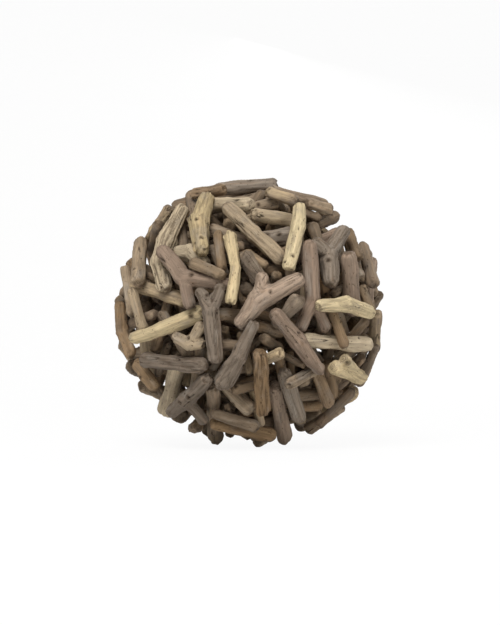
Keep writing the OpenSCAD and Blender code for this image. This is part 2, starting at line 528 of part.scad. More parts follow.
// Spread flags from each stick to those it meets
function joined(flags, links) =
    let(next = [for (i = [0:len(flags) - 1])
            flags[i] || len([for (j = links[i]) if (flags[j]) j]) > 0])
    next == flags ? flags : joined(next, links);
function picked(pile, flags, wanted) = [for (i = [0:len(pile) - 1]) if (flags[i] == wanted) pile[i]];

// The move that brings a cluster to the nearest of the joined sticks, or up to what lies before it
function way_over(cluster, fixed, others) =
    let(options = [for (a = cluster, b = fixed)
            if (norm(a[0] - b[0]) < a[1] + b[1] + far_off) for (g = gaps(a[2], b[5])) g],
        g = least(options))
    g == far_off ? [0, 0, 0] :
    let(nearest = [for (o = options) if (o[0] == g) o][0],
        v = unit(nearest[2] - nearest[1]),
        stops = [for (a = cluster, b = others)
            if (norm(a[0] - b[0]) < a[1] + b[1] + far_off)
                for (s = a[2], t = b[2]) let(w = blocked(s, t, -v)) if (w[0] + w[1] > 0) w[0]])
    v * max(0, min(stops));

// Move every cluster that isn't joined yet, one after the other
function tie(pile, flags, links, i = 0) =
    i == len(pile) ? pile :
    flags[i] ? tie(pile, flags, links, i + 1) :
    let(own = joined([for (j = [0:len(pile) - 1]) j == i], links),
        v = way_over(picked(pile, own, true), picked(pile, flags, true), picked(pile, own, false)),
        next = [for (j = [0:len(pile) - 1])
            own[j] ? laid(moved(pile[j][2], v), pile[j][3], pile[j][4]) : pile[j]],
        all = [for (j = [0:len(pile) - 1]) own[j] || flags[j]])
    tie(next, all, links, i + 1);
function tied(pile) =
    let(links = meetings(pile), last = len(pile) - 1)
    tie(pile, joined([for (i = [0:last]) i == last], links), links);

ball = tied(loose_ball);

// --- nodes --------------------------------------------------------------------------------------

QUARTERS = ["_upper_left", "_upper_right", "_lower_left", "_lower_right"];
GROUPS = concat([for (g = [FRONT, DEEP_FRONT], q = QUARTERS) str(g, q)],
                [for (q = QUARTERS) str("inner_sticks_back", q)],
                ["inner_sticks_front_upper", "inner_sticks_front_lower",
                 "lining_sticks_upper", "lining_sticks_lower"],
                [for (c = LAYERS, s = ["top", "bottom", "left", "right", "back"]) str(c, "_sticks_", s)]);
NODES = concat(GROUPS, [for (s = concat(front_middle, front_top)) if (s[0] != "") s[0]]);

// --- solids -------------------------------------------------------------------------------------

// Stand the Z axis on point p, looking to point q
module aim(p, q) {
    d = q - p;
    translate(p)
        rotate([0, acos(d.z / norm(d)), atan2(d.y, d.x)])
            children();
}

// Outline of a free end of radius r, from its rim to the axis, as [radius, height] steps
function end_outline(r, style) =
    style == WORN ? [[r * 0.9, r * 0.42], [r * 0.6, r * 0.79], [0, r * 0.94]] :
    style == SAWN ? [[r * 0.93, r * 0.36], [r * 0.68, r * 0.72], [0, r * 0.76]] :
    style == BROKEN ? [[r * 0.8, r * 0.55], [r * 0.35, r * 0.92], [0, r * 0.95]] :
    style == BURIED ? [[r * 0.75, r * 0.3], [0, r * 0.3]] :
    [[0, 0]];

function limb_outline(s) =
    let(l = norm(s[1] - s[0]),
        low = end_outline(s[2], s[4]),
        high = end_outline(s[3], s[5]))
    concat([for (i = [len(low) - 1:-1:0]) [low[i].x, -low[i].y]],
           [[s[2] * (s[4] == BURIED ? neck : 1), 0],
            [mix(s[2], s[3], 0.5) * waist, l / 2],
            [s[3] * (s[5] == JOINT ? neck : 1), l]],
           [for (p = high) [p.x, l + p.y]]);

module limb(s) {
    aim(s[0], s[1])
        rotate_extrude()
            polygon(limb_outline(s));
}

// The knuckle at the far end of limb s, with its poles square to the plane of the bend or fork
module knuckle(s, side) {
    x = unit(s[0] - s[1]);
    z = unit(cross(x, side));
    y = cross(z, x);
    multmatrix([[x.x, y.x, z.x, s[1].x], [x.y, y.y, z.y, s[1].y], [x.z, y.z, z.z, s[1].z]])
        sphere(r = s[3]);
}

module stick(item) {
    last = item[2][len(item[2]) - 1];
    for (s = item[2]) {
        limb(s);
        if (s[5] == JOINT)
            knuckle(s, last[1] - last[0]);
    }
}

module sticks(name) {
    for (item = ball)
        if (item[3] == name)
            color(item[4][0])
                stick(item);
}

for (n = NODES)
    sticks(n);
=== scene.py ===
# %% [markdown]
# # A ball of driftwood sticks
# The real ornament is a hollow ball: several hundred short pieces of driftwood, glued together where
# they touch. The CAD model holds sticks as plain round limbs, alone or joined two or three at a bend
# or a fork. This notebook keeps their places and gives each one the body of real driftwood: an uneven
# section, weathered grain in relief, knots, drying checks, and ends that the sea wore round, a saw cut
# flat or a break left ragged. It also adds sticks of its own inside the shell, which the CAD model
# doesn't have.

# %% Load the fixed frame
import json
import math

import bpy
import numpy as np
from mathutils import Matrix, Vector
from mathutils.bvhtree import BVHTree


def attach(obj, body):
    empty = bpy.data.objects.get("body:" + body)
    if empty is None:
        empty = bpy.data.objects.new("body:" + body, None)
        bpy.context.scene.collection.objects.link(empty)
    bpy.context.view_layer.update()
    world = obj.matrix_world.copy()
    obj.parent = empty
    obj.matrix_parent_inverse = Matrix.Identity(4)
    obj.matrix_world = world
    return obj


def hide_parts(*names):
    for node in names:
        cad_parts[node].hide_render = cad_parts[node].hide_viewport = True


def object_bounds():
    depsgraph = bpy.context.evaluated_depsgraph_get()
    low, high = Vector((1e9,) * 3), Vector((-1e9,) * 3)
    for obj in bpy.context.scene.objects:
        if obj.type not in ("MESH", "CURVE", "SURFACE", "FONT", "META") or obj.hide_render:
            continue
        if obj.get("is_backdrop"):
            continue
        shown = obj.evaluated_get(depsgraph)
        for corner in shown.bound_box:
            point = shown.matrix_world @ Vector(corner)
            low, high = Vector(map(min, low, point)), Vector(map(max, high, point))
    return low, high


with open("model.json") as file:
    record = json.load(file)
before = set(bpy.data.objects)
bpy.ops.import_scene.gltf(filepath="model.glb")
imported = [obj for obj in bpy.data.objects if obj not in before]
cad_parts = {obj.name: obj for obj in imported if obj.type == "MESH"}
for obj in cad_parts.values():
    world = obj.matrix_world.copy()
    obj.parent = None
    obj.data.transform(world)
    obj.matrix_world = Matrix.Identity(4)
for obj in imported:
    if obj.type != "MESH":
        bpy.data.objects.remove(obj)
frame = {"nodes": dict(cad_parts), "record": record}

MM = 0.001
cad_low, cad_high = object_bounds()
slot_of = {part["node"]: part["material_slot"] for part in frame["record"]["subparts"]}

# %% [markdown]
# ## Camera, floor and light
# The ball is seen straight on, at the height of its own centre, from so far away that its sticks keep
# their proportions. A floor that curves up into a backdrop has no horizon, and its own pale colour
# gives the white ground. A large soft lamp above the front lights the top and the front of the ball,
# and leaves its underside and the deep gaps between the sticks in shade. Two weaker lamps fill the
# right side and the back.

# %% Camera
VIEW_DISTANCE = 1.6
LENS = 126

ball_centre = (cad_low + cad_high) / 2
camera = bpy.data.objects.new("camera", bpy.data.cameras.new("camera"))
bpy.context.scene.collection.objects.link(camera)
camera.data.lens = LENS
camera.location = (0, -VIEW_DISTANCE, 0)
camera.rotation_euler = (math.radians(90), 0, 0)
camera.data.clip_start = 0.01
camera.data.clip_end = 20
bpy.context.scene.camera = camera
bpy.context.scene.view_settings.view_transform = "Standard"

# %% Node helpers for materials and for Geometry Nodes
def add(tree, kind, **settings):
    """A new node with some of its settings changed."""
    node = tree.nodes.new(kind)
    for name, value in settings.items():
        setattr(node, name, value)
    return node


def feed(tree, socket, value):
    """Link a socket to another one, or give it a plain value."""
    if isinstance(value, bpy.types.NodeSocket):
        tree.links.new(value, socket)
    else:
        socket.default_value = value


def calc(tree, operation, *values, clamp=False):
    """The result of a Math node."""
    node = add(tree, "ShaderNodeMath", operation=operation, use_clamp=clamp)
    for socket, value in zip(node.inputs, values):
        feed(tree, socket, value)
    return node.outputs[0]


def vector_calc(tree, operation, *values):
    """The vector result of a Vector Math node."""
    node = add(tree, "ShaderNodeVectorMath", operation=operation)
    for socket, value in zip(node.inputs, values):
        feed(tree, socket, value)
    return node.outputs[0]


def combine(tree, x, y, z):
    """A vector from three numbers."""
    node = add(tree, "ShaderNodeCombineXYZ")
    for socket, value in zip(node.inputs, (x, y, z)):
        feed(tree, socket, value)
    return node.outputs[0]


def scaled(tree, vector, amount):
    """A vector made longer or shorter."""
    return vector_calc(tree, "MULTIPLY", vector, combine(tree, amount, amount, amount))


def noise(tree, vector, seed, detail):
    """Noise from 0 to 1 with cells of size 1, read at a vector."""
    node = add(tree, "ShaderNodeTexNoise", noise_dimensions="4D")
    settings = {"Vector": vector, "W": seed, "Scale": 1.0, "Detail": detail, "Roughness": 0.5}
    for name, value in settings.items():
        feed(tree, node.inputs[name], value)
    return node.outputs[0]


# %% Floor and backdrop
FLOOR_HALF = 3.0
BEND_START = 1.2
BEND_RADIUS = 1.0
BEND_STEPS = 16
FLOOR_GAP = 1.0 * MM
MATT_GREY = (0.86, 0.86, 0.85, 1)
WHITE = (1, 1, 1, 1)
GROUND_GLOW = 0.93


def seen_rays(tree):
    """1 for rays that the camera sees or that a glossy surface mirrors, and 0 for light that falls."""
    rays = add(tree, "ShaderNodeLightPath")
    return calc(tree, "MAXIMUM", rays.outputs["Is Camera Ray"], rays.outputs["Is Glossy Ray"])


def white_ground():
    """Pale matt material that the camera sees near white, with the object's shadow kept."""
    material = bpy.data.materials.new("white_ground")
    material.use_nodes = True
    tree = material.node_tree
    tree.nodes.clear()
    out = add(tree, "ShaderNodeOutputMaterial")
    matt = add(tree, "ShaderNodeBsdfDiffuse")
    matt.inputs["Color"].default_value = MATT_GREY
    glow = add(tree, "ShaderNodeEmission")
    glow.inputs["Color"].default_value = WHITE
    share = calc(tree, "MULTIPLY", seen_rays(tree), GROUND_GLOW)
    mixed = add(tree, "ShaderNodeMixShader")
    feed(tree, mixed.inputs[0], share)
    feed(tree, mixed.inputs[1], matt.outputs[0])
    feed(tree, mixed.inputs[2], glow.outputs[0])
    feed(tree, out.inputs[0], mixed.outputs[0])
    return material


def make_ground(height):
    """A floor that bends up into a wall behind the ball."""
    profile = [(-FLOOR_HALF, 0.0), (BEND_START, 0.0)]
    for turn in np.linspace(0, math.pi / 2, BEND_STEPS + 1)[1:]:
        profile.append((BEND_START + BEND_RADIUS * math.sin(turn), BEND_RADIUS * (1 - math.cos(turn))))
    profile.append((BEND_START + BEND_RADIUS, FLOOR_HALF))
    places = [(x, y, height + z) for y, z in profile for x in (-FLOOR_HALF, FLOOR_HALF)]
    faces = [(2 * i, 2 * i + 1, 2 * i + 3, 2 * i + 2) for i in range(len(profile) - 1)]
    mesh = bpy.data.meshes.new("ground")
    mesh.from_pydata(places, [], faces)
    mesh.materials.append(white_ground())
    ground = bpy.data.objects.new("ground", mesh)
    bpy.context.scene.collection.objects.link(ground)
    ground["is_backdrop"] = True


make_ground(cad_low.z - FLOOR_GAP)

# %% Lamps and world
BALL_LAMPS = [
    ("key_above_the_front", (-0.35, -1.3, 1.35), 1.0, 36),
    ("fill_from_the_right", (1.5, -1.4, 0.5), 1.2, 9),
    ("fill_from_behind", (0.5, 1.6, 1.0), 1.3, 16),
]


def soft_lamp(name, place, size, watts):
    """A square area lamp of a given width that faces the ball."""
    light = bpy.data.lights.new(name, "AREA")
    light.size = size
    light.energy = watts
    lamp = bpy.data.objects.new(name, light)
    lamp.location = place
    lamp.rotation_euler = (ball_centre - Vector(place)).to_track_quat("-Z", "Y").to_euler()
    bpy.context.scene.collection.objects.link(lamp)


for lamp in BALL_LAMPS:
    soft_lamp(*lamp)

WORLD_LIGHT = 0.32
world = bpy.data.worlds.new("studio")
bpy.context.scene.world = world
world.use_nodes = True


def light_world(tree):
    """Soft white light from all round, which the camera sees as plain white."""
    back = tree.nodes["Background"]
    level = calc(tree, "MULTIPLY_ADD", seen_rays(tree), 1 - WORLD_LIGHT, WORLD_LIGHT)
    feed(tree, back.inputs["Strength"], level)
    back.inputs["Color"].default_value = WHITE


light_world(world.node_tree)

# %% [markdown]
# ## Measuring the sticks
# A stick's solid is one to three straight round limbs. A ray that enters square to the bark leaves
# on the far side, and the middle of its way lies on the limb's own axis. So a few hundred rays give
# points along every axis with the local thickness, and the straight lines through most points are
# the limbs. This way needs no list of places: it follows the CAD model if a size there changes.

# %% Take a node apart into its solids
WELD = 0.0005 * MM


def solids_of(node):
    """Corners and triangles of each separate solid of a CAD node."""
    mesh = frame["nodes"][node].data
    mesh.calc_loop_triangles()
    places = np.empty(len(mesh.vertices) * 3)
    mesh.vertices.foreach_get("co", places)
    corners = np.empty(len(mesh.loop_triangles) * 3, int)
    mesh.loop_triangles.foreach_get("vertices", corners)
    places = places.reshape(-1, 3)
    cells = np.round(places / WELD).astype(np.int64)
    _, first, same = np.unique(cells, axis=0, return_index=True, return_inverse=True)
    places = places[first]
    triangles = same.reshape(-1)[corners].reshape(-1, 3)
    label = np.arange(len(places))
    while True:
        least = label[triangles].min(axis=1)
        new = label.copy()
        np.minimum.at(new, triangles.ravel(), np.repeat(least, 3))
        new = new[new]
        if (new == label).all():
            break
        label = new
    parts = []
    for root in np.unique(label[triangles[:, 0]]):
        own = triangles[label[triangles[:, 0]] == root]
        used, index = np.unique(own, return_inverse=True)
        parts.append((places[used], index.reshape(-1, 3)))
    return parts


# %% Points on the axes of a solid
RAYS = 420
THICKEST = 22 * MM
SQUARE_ENOUGH = -0.9
INTO_BARK = 0.01 * MM


def axis_points(places, triangles, dice):
    """Points on the axes of a solid's limbs, with the radius at each."""
    tree = BVHTree.FromPolygons(places.tolist(), triangles.tolist())
    a, b, c = (places[triangles[:, i]] for i in range(3))
    normals = np.cross(b - a, c - a)
    areas = np.linalg.norm(normals, axis=1)
    picks = np.searchsorted(np.cumsum(areas), (np.arange(RAYS) + 0.5) / RAYS * areas.sum())
    picks = np.minimum(picks, len(areas) - 1)
    u, v = dice.random((2, RAYS, 1))
    u, v = np.where(u + v > 1, 1 - u, u), np.where(u + v > 1, 1 - v, v)
    starts = a[picks] + u * (b - a)[picks] + v * (c - a)[picks]
    found = []
    for start, normal in zip(starts, normals[picks] / areas[picks, None]):
        origin = Vector(start - normal * INTO_BARK)
        hit, far_normal, _, reach = tree.ray_cast(origin, Vector(-normal), THICKEST)
        if hit is not None and np.dot(far_normal, normal) < SQUARE_ENOUGH:
            found.append((*(start - normal * reach / 2), reach / 2))
    return np.array(found).reshape(-1, 4)


# %% Straight limbs through those points
ON_LINE = 0.3 * MM
NEAR_LINE = 0.9 * MM
WIDEST_HOLE = 7 * MM
FEWEST_POINTS = 8
SHORTEST = 3 * MM
LINE_TRIES = 70
LINE_BASE = 4 * MM
MOST_LIMBS = 3
STRAY_PERCENT = 0.5


def best_line(points, dice):
    """The points, out of many, that lie on the straight stretch that holds most of them."""
    best = np.zeros(len(points), bool)
    for _ in range(LINE_TRIES):
        i, j = dice.integers(len(points), size=2)
        along = points[j, :3] - points[i, :3]
        length = np.linalg.norm(along)
        if length < LINE_BASE:
            continue
        along /= length
        offset = points[:, :3] - points[i, :3]
        reach = offset @ along
        near = np.linalg.norm(offset - reach[:, None] * along, axis=1) < ON_LINE
        order = np.sort(reach[near])
        holes = np.flatnonzero(np.diff(order) > WIDEST_HOLE)
        edges = np.concatenate([[-1], holes, [len(order) - 1]])
        widest = np.argmax(np.diff(edges))
        low, high = order[edges[widest] + 1], order[edges[widest + 1]]
        near &= (reach >= low) & (reach <= high)
        if near.sum() > best.sum():
            best = near
    return best


def straight_limbs(points, dice):
    """Limbs as (start, end, radius), the longest first."""
    limbs = []
    while len(points) >= FEWEST_POINTS and len(limbs) < MOST_LIMBS:
        near = best_line(points, dice)
        if near.sum() < FEWEST_POINTS:
            break
        own = points[near]
        centre = own[:, :3].mean(axis=0)
        along = np.linalg.svd(own[:, :3] - centre)[2][0]
        reach = (own[:, :3] - centre) @ along
        low, high = np.percentile(reach, [STRAY_PERCENT, 100 - STRAY_PERCENT])
        if high - low > SHORTEST:
            thirds = np.clip(((reach - low) / (high - low) * 3).astype(int), 0, 2)
            radii = [np.median(own[thirds == k, 3]) if (thirds == k).any() else own[:, 3].mean()
                     for k in range(3)]
            limbs.append((centre + low * along, centre + high * along, float(np.mean(radii))))
        offset = points[:, :3] - centre
        reach = offset @ along
        beside = np.linalg.norm(offset - reach[:, None] * along, axis=1)
        points = points[~((beside < NEAR_LINE) & (reach > low - MM) & (reach < high + MM))]
    return sorted(limbs, key=lambda limb: -np.linalg.norm(limb[1] - limb[0]))


# %% [markdown]
# ## Where each point lies in the wood
# Grain runs along a limb and swings round at a bend or a fork. Each point of a stick gets its place
# in the wood, in millimetres: two ways across the grain and one along it. Near a joint the places
# that two limbs give are blended, so the grain flows from one limb into the other.

# %% Directions of a stick's limbs
NEARLY_PARALLEL = 0.01
ASKEW = (0.3, 0.5, 0.81)


def unit(vector):
    """A vector of length 1."""
    return vector / np.linalg.norm(vector)


def crossing(a, u, b, v):
    """How far along each of two lines the point is where they pass closest."""
    w, k = a - b, u @ v
    spread = 1 - k * k
    if spread < NEARLY_PARALLEL:
        return (b - a) @ u / 2, (a - b) @ v / 2
    return (k * (v @ w) - u @ w) / spread, (v @ w - k * (u @ w)) / spread


def framed(limbs):
    """Limbs with their three grain directions, turned the shortest way from those of the first."""
    first, last, _ = limbs[0]
    stem = unit(last - first)
    side = unit(np.cross(stem, ASKEW))
    found = []
    for start, end, radius in limbs:
        along = unit(end - start)
        if along @ stem < 0:
            start, end, along = end, start, -along
        on_stem, on_limb = crossing(first, stem, start, along)
        turn = Vector(stem).rotation_difference(Vector(along))
        across = np.array(turn @ Vector(side))
        found.append({
            "start": start, "length": np.linalg.norm(end - start), "radius": radius,
            "along": along, "across": across, "other": np.cross(along, across),
            "shift": on_stem - on_limb,
        })
    return found


# %% Place in the wood
BLEND = 6.0
FAR = 99.0
OWN_SHARE = 0.6
BURIED = 1.3


def wood_places(places, limbs):
    """Grain place, grain direction, radius, way from the nearest tip and number of that tip.

    The places, radii and ways are in millimetres.
    """
    weights, grains = [], []
    for limb in limbs:
        offset = places - limb["start"]
        reach = offset @ limb["along"]
        inside = np.clip(reach, 0, limb["length"])
        beside = np.linalg.norm(offset - inside[:, None] * limb["along"], axis=1) / limb["radius"]
        weights.append(np.exp(-BLEND * beside))
        grains.append(np.stack([offset @ limb["across"], offset @ limb["other"], reach + limb["shift"]], 1))
    weights = np.array(weights) / np.sum(weights, axis=0)
    grain = sum(w[:, None] * g for w, g in zip(weights, grains)) / MM
    axis = sum(w[:, None] * limb["along"] for w, limb in zip(weights, limbs))
    axis /= np.linalg.norm(axis, axis=1)[:, None]
    radius = sum(w * limb["radius"] for w, limb in zip(weights, limbs)) / MM
    tip = np.full(len(places), FAR)
    tip_number = np.zeros(len(places))
    for k, limb in enumerate(limbs):
        own = weights[k] > OWN_SHARE
        if not own.any():
            continue
        reach = (places - limb["start"]) @ limb["along"]
        for sign, end in ((-1, 0.0), (1, limb["length"])):
            corner = limb["start"] + end * limb["along"]
            others = [o for o in limbs if o is not limb]
            if any(distance_to(corner, o) < BURIED * o["radius"] for o in others):
                continue
            way = sign * reach
            distance = (way[own].max() - way) / MM
            nearer = own & (distance < tip)
            tip[nearer] = distance[nearer]
            tip_number[nearer] = 2 * k + (sign > 0)
    return grain, axis, radius, tip, tip_number


def distance_to(place, limb):
    """How far a place is from a limb's axis."""
    offset = place - limb["start"]
    inside = np.clip(offset @ limb["along"], 0, limb["length"])
    return np.linalg.norm(offset - inside * limb["along"])


# %% [markdown]
# ## One fine mesh for each stick
# The smooth CAD solid is remeshed into small even faces, which also softens its corners the way
# water does. Each of its points then carries what the bark needs to know there.

# %% Fine mesh of one solid
def fine_mesh(places, triangles, size):
    """Points and faces of a solid, remeshed with faces of about one size."""
    mesh = bpy.data.meshes.new("coarse")
    mesh.from_pydata(places.tolist(), [], triangles.tolist())
    holder = bpy.data.objects.new("coarse", mesh)
    bpy.context.scene.collection.objects.link(holder)
    remesh = holder.modifiers.new("even faces", "REMESH")
    remesh.mode = "VOXEL"
    remesh.voxel_size = size
    fine = holder.evaluated_get(bpy.context.evaluated_depsgraph_get()).to_mesh()
    points = np.empty(len(fine.vertices) * 3)
    fine.vertices.foreach_get("co", points)
    faces = np.empty(len(fine.polygons) * 4, int)
    fine.polygons.foreach_get("vertices", faces)
    bpy.data.objects.remove(holder)
    bpy.data.meshes.remove(mesh)
    return points.reshape(-1, 3), faces.reshape(-1, 4)


# %% All the sticks
CLOSE_SIZE = 0.9 * MM
OUTER_SIZE = 1.08 * MM
INSIDE_SIZE = 1.5 * MM
GROUPED = ("front_sticks", "outer_sticks")
INSIDE = ("deep_front", "inner", "lining", "middle")


def face_size(node):
    """Finest for the sticks that have a node of their own, coarsest for those deep inside."""
    if node.startswith(INSIDE):
        return INSIDE_SIZE
    return OUTER_SIZE if node.startswith(GROUPED) else CLOSE_SIZE


sticks = []


def add_stick(node, points, faces, limbs, dice):
    """Keep one stick, with what is known of it so far."""
    sticks.append({"node": node, "points": points, "faces": faces, "limbs": framed(limbs), "dice": dice})


for order, node in enumerate(sorted(slot_of)):
    for number, (places, triangles) in enumerate(solids_of(node)):
        dice = np.random.default_rng([order, number])
        limbs = straight_limbs(axis_points(places, triangles, dice), dice)
        points, faces = fine_mesh(places, triangles, face_size(node))
        add_stick(node, points, faces, limbs, dice)
print(f"{len(sticks)} sticks, {sum(len(stick['faces']) for stick in sticks) * 2} triangles")

# %% [markdown]
# ## More sticks behind the open places
# The real ball lets little light through, since more sticks lie glued behind those that show. The
# CAD model has too few of them. Here more are added, at places that are a guess. First comes a light
# test: wherever a straight line passes through the whole ball between all sticks, seeded tries look
# for a free place for one more stick across that line, and slide it outwards until it all but touches
# a neighbour. Then the same tries look for room in seeded places of the shell.

# %% Room between the sticks
FILL_PITCH = 2.5 * MM
FILL_REACH = 92 * MM
FILL_TRIES = 110
FILL_LENGTH = (16 * MM, 40 * MM)
FILL_RADIUS = (2.8 * MM, 5.2 * MM)
LEAST_GAP = 0.2 * MM
GAP_SLACK = 0.9
WIDEST_GAP = 0.45 * MM
OVERHANG = 4 * MM
OFF_CENTRE = 0.35
SLIDES = 7
TEST_POINTS = 7
NEIGHBOURS = 56 * MM


def limb_table(sticks):
    """Starts, ways and radii of every limb, for fast distances."""
    limbs = [limb for stick in sticks for limb in stick["limbs"]]
    starts = np.array([limb["start"] for limb in limbs])
    ways = np.array([limb["along"] * limb["length"] for limb in limbs])
    return starts, ways, np.array([limb["radius"] for limb in limbs])


def clearance(points, table):
    """Distance from each point to the bark of the nearest stick."""
    starts, ways, radii = table
    offset = points[:, None] - starts
    share = np.clip((offset * ways).sum(-1) / (ways * ways).sum(-1), 0, 1)
    return (np.linalg.norm(offset - share[..., None] * ways, axis=-1) - radii).min(axis=1)


def open_lines(view, table):
    """Points in the middle plane through which light passes the ball along one axis."""
    across = [axis for axis in range(3) if axis != view]
    cells = np.arange(-FILL_REACH, FILL_REACH, FILL_PITCH)
    plane = np.stack(np.meshgrid(cells, cells), -1).reshape(-1, 2)
    points = np.zeros((len(plane), 3))
    points[:, across] = plane
    points = points[np.linalg.norm(points, axis=1) < FILL_REACH]
    starts, ways, radii = (part.copy() for part in table)
    starts[:, view] = ways[:, view] = 0
    ways[np.linalg.norm(ways, axis=1) < MM, across[0]] += MM
    return points[clearance(points, (starts, ways, radii)) > 0]


# %% Find a place for one more stick
def filler(point, view, reach, table, dice):
    """A free place for a stick near a point, as (start, end, radius), or None.

    Tries start up to a reach from the point along one axis, and slide outwards along it until they
    all but touch a neighbour.
    """
    count = FILL_TRIES
    offset = table[0] + table[1] / 2 - point
    offset[:, view] = np.clip(np.abs(offset[:, view]) - reach, 0, None)
    near = np.linalg.norm(offset, axis=1) < NEIGHBOURS
    table = [part[near] for part in table]
    along = dice.normal(size=(count, 3))
    along /= np.linalg.norm(along, axis=1)[:, None]
    length, radius = dice.uniform(*FILL_LENGTH, count), dice.uniform(*FILL_RADIUS, count)
    middle = np.tile(point, (count, 1))
    middle[:, view] += dice.uniform(-reach, reach, count)
    middle += along * (dice.uniform(-OFF_CENTRE, OFF_CENTRE, count) * length)[:, None]
    steps = np.linspace(-0.5, 0.5, TEST_POINTS)
    push = np.where(middle[:, view] > 0, 1.0, -1.0)
    for _ in range(SLIDES):
        points = middle[:, None] + along[:, None] * steps[:, None] * length[:, None, None]
        room = clearance(points.reshape(-1, 3), table).reshape(count, -1).min(axis=1) - radius
        middle[:, view] += push * np.clip(room - LEAST_GAP, 0, None)
    outmost = np.linalg.norm(points, axis=2).max(axis=1) + radius
    seated = (room >= LEAST_GAP * GAP_SLACK) & (room < WIDEST_GAP)
    fits = np.flatnonzero(seated & (outmost < FILL_REACH + OVERHANG))
    if not len(fits):
        return None
    best = fits[np.argmax(length[fits])]
    return points[best][0], points[best][-1], radius[best]


# %% A plain stick to start from
SIDES = 24
START_RINGS = [(-0.75, 0.6), (-0.45, 0.88), (0.0, 1.0)]
END_RINGS = [(0.0, 0.94), (0.45, 0.8), (0.7, 0.5)]


def plain_stick(start, end, radius):
    """Corners and triangles of a round stick with blunt ends.

    Each ring has its place along the stick, from that end, and its own radius, both in radii.
    """
    along = unit(end - start)
    across = unit(np.cross(along, ASKEW))
    other = np.cross(along, across)
    turns = np.arange(SIDES) * 2 * math.pi / SIDES
    circle = np.cos(turns)[:, None] * across + np.sin(turns)[:, None] * other
    rings = [start + along * radius * way + circle * radius * share for way, share in START_RINGS]
    rings += [end + along * radius * way + circle * radius * share for way, share in END_RINGS]
    corners = np.concatenate([*rings, [rings[0].mean(axis=0)], [rings[-1].mean(axis=0)]])
    first, last = len(corners) - 2, len(corners) - 1
    triangles = []
    top = (len(rings) - 1) * SIDES
    for i in range(SIDES):
        j = (i + 1) % SIDES
        for a in range(0, top, SIDES):
            b = a + SIDES
            triangles += [(a + i, a + j, b + j), (a + i, b + j, b + i)]
        triangles += [(first, j, i), (last, top + i, top + j)]
    return corners, np.array(triangles)


# %% Fill the open places
FILL_NODE = "lining_fill"
# The added sticks take the shaded finish, whose darker colours are painted shade.
FILL_SLOT = "shaded_driftwood"
FILL_SEED = 5
FRONT_VIEW, SIDE_VIEW, TOP_VIEW = 1, 0, 2


def put_in(place):
    """Add a stick at a place that was found."""
    start, end, radius = place
    corners, triangles = plain_stick(start, end, radius)
    points, faces = fine_mesh(corners, triangles, INSIDE_SIZE)
    add_stick(FILL_NODE, points, faces, [place], np.random.default_rng(len(sticks)))


def added():
    """How many sticks have been put in."""
    return sum(stick["node"] == FILL_NODE for stick in sticks)


dice = np.random.default_rng(FILL_SEED)
shown_open = []
for view in (FRONT_VIEW, SIDE_VIEW, TOP_VIEW):
    table = limb_table(sticks)
    points = dice.permutation(open_lines(view, table))
    before = len(points)
    while len(points):
        point, points = points[0], points[1:]
        place = filler(point, view, math.sqrt(FILL_REACH ** 2 - point @ point), table, dice)
        if place is None:
            continue
        put_in(place)
        table = limb_table(sticks)
        flat = limb_table(sticks[-1:])
        flat[0][:, view] = flat[1][:, view] = 0
        if len(points):
            points = points[clearance(points, flat) > 0]
    shown_open.append((before, len(open_lines(view, table))))
print(f"{added()} sticks added; open lines before and after: {shown_open}")

# %% Fill the pockets of the shell
POCKETS = 900
POCKET_SHELL = (62 * MM, 91 * MM)
POCKET_REACH = 7 * MM

for _ in range(POCKETS):
    point = unit(dice.normal(size=3)) * dice.uniform(*POCKET_SHELL)
    table = limb_table(sticks)
    if clearance(point[None], table)[0] < FILL_RADIUS[0]:
        continue
    place = filler(point, int(np.argmax(np.abs(point))), POCKET_REACH, table, dice)
    if place:
        put_in(place)
print(f"{added()} sticks added in all")

# %% [markdown]
# ## What sets one stick apart
# Most sticks get their knots and broken ends by a seeded draw. The ones that catch the eye on the
# front are stated here. A knot is stated by how far right of and above the ball's centre it shows,
# with its size, in millimetres.

# %% Marks on the front
FRONT_KNOTS = [
    (-41, 27, 2.8), (54, 37, 2.8), (13, 55, 3.0), (21, 55, 3.0), (91, 3, 2.4),
    (-12, -65, 2.8), (5, -84, 3.0), (-38, 66, 2.2), (-33, 53, 2.4), (-44, -59, 2.8),
    (-50, -64, 2.6), (68, -36, 3.0), (-43, -17, 2.2), (-42, -2, 3.4), (15, 14, 2.0),
    (-27, -44, 2.4), (-9, -51, 2.2), (54, 12, 2.4), (30, 40, 2.4),
]
KNOT_SEARCH = 1.2 * MM
STRONG_RIDGES = {
    "twin_ridge_stick": 2.2, "grey_bar": 1.8, "dark_v_fork": 1.8, "grooved_upright": 2.2,
    "centre_fork": 1.4, "right_grey_fork": 1.5, "big_crooked_stick": 1.3, "flared_stick": 1.4,
}
BROKEN_ENDS = ("flared_stick", "big_crooked_stick", "pale_bar_upper", "pale_broken_stick")
BROKEN_SHARE = 0.22
KNOT_SHARE = 0.6
MOST_KNOTS = 2
KNOT_SIZE = (0.28, 0.5)
USUAL_RIDGES = (0.5, 1.3)
NO_KNOT = 9.0
SEEDS = 90


def front_knots():
    """The place of each stated knot on the stick that shows there, with its size."""
    found = []
    for x, z, size in FRONT_KNOTS:
        best = None
        for index, stick in enumerate(sticks):
            points = stick["points"]
            close = np.hypot(points[:, 0] - x * MM, points[:, 2] - z * MM) < KNOT_SEARCH
            if close.any():
                nearest = points[close][np.argmin(points[close][:, 1])]
                if best is None or nearest[1] < best[1][1]:
                    best = (index, nearest, size * MM)
        if best:
            found.append(best)
    return found


